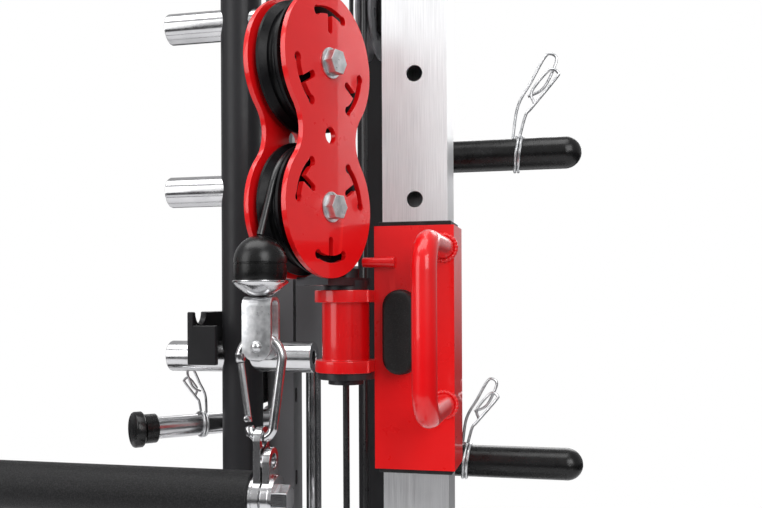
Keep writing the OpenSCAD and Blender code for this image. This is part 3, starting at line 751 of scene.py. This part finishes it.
for side in SIDES:
    front, rear = f"{side}_cable_front", f"{side}_cable_rear"
    carriage, housing = body_of[f"{side}_sleeve"], body_of[f"{side}_plates"]
    foot = spot(side, AXIS_X, AXIS_Y, BASE_Z + FOOT_LIFT)
    neck = spot(side, AXIS_X, AXIS_Y, CAR - NECK_DROP)
    ball_top = centre(f"{side}_stop_ball")
    ball_top.z = (CAR + BALL_Z + BALL_R) * MM
    reach, fall = BALL_OUT - GROOVE, BALL_Z + BALL_R - LOW_Z
    leave = math.degrees(math.atan2(fall, reach) + math.acos(GROOVE / math.hypot(reach, fall)))
    over = groove_arc(side, AXIS_X + GROOVE * OUT[0], AXIS_Y + GROOVE * OUT[1], CAR + LOW_Z,
                      GROOVE, 180, leave, OUT)
    runs = [(f"{front}_drop", [foot, neck], front, "frame", carriage),
            (f"{front}_turn", [neck] + over, front, housing, None),
            (f"{front}_reach", [over[-1], ball_top], front, carriage, body_of[f"{side}_stop_ball"])]
    under = groove_arc(side, AXIS_X, AXIS_Y + GUIDE_R, BASE_Z, GUIDE_R, 180, 360, (0, 1))
    up_y = AXIS_Y + 2 * GUIDE_R
    rise = groove_arc(side, AXIS_X + GUIDE_R * ACROSS.x, up_y + GUIDE_R * ACROSS.y, CROWN_Z,
                      GUIDE_R, 180, 90, ACROSS, 8)
    drop = groove_arc(side, SLED_X - GUIDE_R * ACROSS.x, ROD_Y - GUIDE_R * ACROSS.y, CROWN_Z,
                      GUIDE_R, 90, 0, ACROSS, 8)
    runs += [(f"{rear}_route", under + rise + drop, rear, "frame", None),
             (f"{rear}_hang", [drop[-1], spot(side, SLED_X, ROD_Y, SLED_TOP)], rear, "frame",
              body_of[f"{side}_sled"])]
    for name, path, node, body, other in runs:
        rope = swept(name, path, ROPE * MM, 14)
        rope.data.materials.append(FINISH["cable"].mat)
        if other:
            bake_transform(rope)
        else:
            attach(rope, body)
        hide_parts(node)
print("cable runs", 5 * len(SIDES))

# %% [markdown]
# ### Spring clips
# A clip is one length of spring wire: two turns grip the sleeve, and the ends rise into loops
# that a hand squeezes together. Both loops lean the same way, one more than the other.


# %% Spring clips
# Outline of each loop in mm, out along the peg and up from it
TALL_LOOP = [(-7, 0), (-5, 33), (6, 57), (16, 79), (22, 84), (29, 78), (24, 60), (17, 48), (4, 42)]
LOW_LOOP = [(0, 0), (4, 22), (9, 29), (30, 57), (32, 63), (23, 66), (8, 46), (11, 34)]
LOOP_TALL, COIL_WIDE, COIL_STEPS = 84, 7.5, 28


def spring_clip(name, middle, along, up, hold_r, turns=2.2, wire=1.6, reach=LOOP_TALL):
    """Coils round a peg that runs along one way, with two looped handles rising."""
    along, up = Vector(along).normalized(), Vector(up).normalized()
    side_way = along.cross(up).normalized()
    r = (hold_r + wire + 0.1) * MM

    def at(a, u, s):
        return middle + (along * a + up * u + side_way * s) * MM

    steps = int(turns * COIL_STEPS)
    coil = []
    for i in range(steps + 1):
        t = i / steps
        ang = math.pi / 2 + (turns - 0.2) * 2 * math.pi * t
        spoke = math.cos(ang) * side_way + math.sin(ang) * up
        coil.append(middle + along * (t - 0.5) * COIL_WIDE * MM + r * spoke)
    wires = [swept("coil", coil, wire * MM, 10)]
    base = hold_r + wire
    for depth, loop in ((-3, TALL_LOOP), (3, LOW_LOOP)):
        line = [at(a * reach / LOOP_TALL, base - 1 + u * reach / LOOP_TALL, depth) for a, u in loop]
        wires.append(swept("loop", rounded(line), wire * MM, 10))
    return joined(name, wires)


def rounded(points, steps=6):
    """A smooth line through points."""
    out = []
    ends = [points[0] * 2 - points[1]] + points + [points[-1] * 2 - points[-2]]
    for a, b, c, d in zip(ends, ends[1:], ends[2:], ends[3:]):
        for i in range(steps):
            t = i / steps
            out.append(0.5 * (2 * b + (c - a) * t + (2 * a - 5 * b + 4 * c - d) * t * t
                              + (3 * b - a - 3 * c + d) * t ** 3))
    return out + [points[-1]]


# Each clip: out from the rail, up from the carriage, height of its tall loop
STORAGE_CLIPS = ((81, 203, 92), (22, -137, 74))
SLEEVE_R, SLEEVE_Y, CLIP_LEAN = 17.5, 190, 0.1
clips = []
for side, s in SIDES.items():
    for n, (x, z, reach) in enumerate(STORAGE_CLIPS):
        clips.append(spring_clip(f"{side}_clip_{n + 1}", spot(side, x, SLEEVE_Y, CAR + z),
                                 (s, 0, 0), (CLIP_LEAN * s, 0, 1), SLEEVE_R, reach=reach))
        finish_piece(clips[-1], "zinc", "frame")
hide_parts("spring_clips")
print("spring clips", len(clips))

# %% [markdown]
# ### Bent strap
# The strap between cup and hook is one strip of plated steel, folded over a mandrel into a U with
# soft shoulders and rounded ends. A rivet with domed heads holds the hook's top between them.


# %% Straps
def strip(name, middle, line, half_widths, thick):
    """A strip bent in the y-z plane. line holds (y, z) in mm about middle."""
    verts, faces = [], []
    for i, (y, z) in enumerate(line):
        a, b = line[max(i - 1, 0)], line[min(i + 1, len(line) - 1)]
        length = math.hypot(b[0] - a[0], b[1] - a[1])
        ny, nz = (b[1] - a[1]) / length, -(b[0] - a[0]) / length
        for x, off in ((-1, -0.5), (1, -0.5), (1, 0.5), (-1, 0.5)):
            place = Vector((x * half_widths[i], y + ny * off * thick, z + nz * off * thick))
            verts.append(middle + place * MM)
    for i in range(len(line) - 1):
        for k in range(4):
            faces.append((4 * i + k, 4 * i + (k + 1) % 4, 4 * i + 4 + (k + 1) % 4, 4 * i + 4 + k))
    faces += [(0, 1, 2, 3), tuple(len(verts) - 4 + k for k in range(4))]
    piece = as_piece(name, verts, faces)
    edge = piece.modifiers.new("edge", "BEVEL")
    edge.width = 0.5 * MM
    edge.segments = 2
    edge.limit_method = "ANGLE"
    edge.angle_limit = math.radians(50)
    return apply_modifiers(piece)


RIVET_Z, CHEEK_Y, STRAP_R, SHOULDER, STRAP_THICK, CUP_DEEP = 7, 9, 12, 6, 3, 13
for side in SIDES:
    mid = centre(f"{side}_stop_ball")
    mid.z = CAR * MM
    top_z = BALL_Z - BAND - CUP_DEEP - STRAP_THICK / 2
    line, widths = [], []
    for i in range(10):
        z = RIVET_Z - STRAP_R * math.cos(math.pi / 2 * i / 9)
        line.append((-CHEEK_Y, z))
        widths.append(max(2.0, math.sqrt(max(0, STRAP_R ** 2 - (RIVET_Z - z) ** 2))))
    for i in range(9):
        a = math.pi / 2 * i / 8
        line.append((-CHEEK_Y + SHOULDER * (1 - math.cos(a)), top_z - SHOULDER * (1 - math.sin(a))))
        widths.append(STRAP_R)
    line += [(-y, z) for y, z in reversed(line)]
    widths += list(reversed(widths))
    strap = strip("strap", mid, line, widths, STRAP_THICK)
    heads = [turned("head", [(0, 3.4), (1.6, 3.2), (3.2, 2.4), (4.4, 1.0), (4.7, 0)],
                    mid + Vector((0, d * (CHEEK_Y + STRAP_THICK / 2), RIVET_Z)) * MM, (0, d, 0), 28)
             for d in (-1, 1)]
    shank = turned("shank", [(3.5, -CHEEK_Y), (3.5, CHEEK_Y)],
                   mid + Vector((0, 0, RIVET_Z)) * MM, (0, 1, 0), 28)
    strap = joined(f"{side}_bent_strap", [strap, shank] + heads)
    finish_piece(strap, "zinc", body_of[f"{side}_end_strap"], f"{side}_end_strap")
print("straps 2, rivets 2")

# %% [markdown]
# ### Plate horns
# A steel bar juts from the slotted upright at forty-five degrees, with a collar and a rubber cap
# at its end, so that plates slide on without scratching the frame. A spring clip holds them.

# %% Uprights, horns and caps
UPRIGHT_X, UPRIGHT_CUT, HORN_Y, HORN_DROP = -258, 0.2585, 320, 115
HORN_R, HORN_LEN, CLIP_AT, CLIP_REACH = 13.5, 172, 95, 58
for side, s in SIDES.items():
    node = f"{side}_horn"
    body = softened(node, 1.2 * MM)
    body.name = f"{side}_slotted_upright"
    bm = bmesh.new()
    bm.from_mesh(body.data)
    edge_x = s * rail_x - UPRIGHT_CUT * s
    front_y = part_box(f"{side}_sled")[0].y + 5 * MM
    away = [f for f in bm.faces if (f.calc_center_median().x - edge_x) * s < 0
            or f.calc_center_median().y < front_y]
    bmesh.ops.delete(bm, geom=away, context="FACES")
    bm.to_mesh(body.data)
    bm.free()
    root = spot(side, UPRIGHT_X, HORN_Y, CAR - HORN_DROP)
    out = Vector((-s, -1, 0)).normalized()
    horn = turned("bar", [(HORN_R, 0), (HORN_R, HORN_LEN)], root, out, 40)
    collar = turned("collar", [(HORN_R, 154.5), (17.2, 155), (18, 156), (18, 170), (17.2, 171),
                               (HORN_R, 171.4)], root, out, 40)
    bead = ripple_ring("bead", root + out * 2 * MM, out, 15, 2.4, 22)
    finish_piece(joined(f"{side}_horn_bar", [horn, bead]), "chrome", "frame", node)
    finish_piece(joined(f"{side}_horn_collar", [collar]), "rubber", "frame", node)
    cap = turned(f"{side}_horn_cap", [(17, 171.6), (20.5, 172), (22, 173.5), (22, 181.5),
                                      (21.2, 183), (19.5, 184), (0, 184)], root, out, 48)
    finish_piece(cap, "rubber", "frame", node)
    clip = spring_clip(f"{side}_horn_clip", root + out * CLIP_AT * MM, out, (0, 0, 1), HORN_R,
                       reach=CLIP_REACH)
    finish_piece(clip, "zinc", "frame", node)
print("horns 2")

# %% [markdown]
# ### Dark fillers
# A black block on the inner edge of each upright fills the gap between post and upright. It is
# painted shade, a dark piece put where there is only shade, and it is split round the horn's weld.

# %% Dark fillers (painted shade)
SHADE_FILL_X, SHADE_FILL_Y, SHADE_FILL_EDGE = (-279, -259), (301, 345), 2.5
SHADE_FILL_RUNS = ((-330, -137), (-93, 110))  # below and above the horn, from the carriage's middle
for side in SIDES:
    blocks = []
    for low, high in SHADE_FILL_RUNS:
        bm = bmesh.new()
        bmesh.ops.create_cube(bm, size=1)
        a = spot(side, SHADE_FILL_X[0], SHADE_FILL_Y[0], CAR + low)
        b = spot(side, SHADE_FILL_X[1], SHADE_FILL_Y[1], CAR + high)
        bmesh.ops.scale(bm, vec=[abs(v) for v in b - a], verts=bm.verts)
        bmesh.ops.translate(bm, vec=(a + b) / 2, verts=bm.verts)
        bmesh.ops.bevel(bm, geom=bm.edges[:], offset=SHADE_FILL_EDGE * MM, segments=3, profile=0.5,
                        affect="EDGES")
        mesh = bpy.data.meshes.new("shade_fill")
        bm.to_mesh(mesh)
        bm.free()
        blocks.append(link_mesh("shade_fill", mesh))
    # The joined blocks are painted shade: a dark piece in the gap where only shade falls.
    finish_piece(joined(f"{side}_shade_filler", blocks), "rubber", "frame")
print("shade_fills 2")
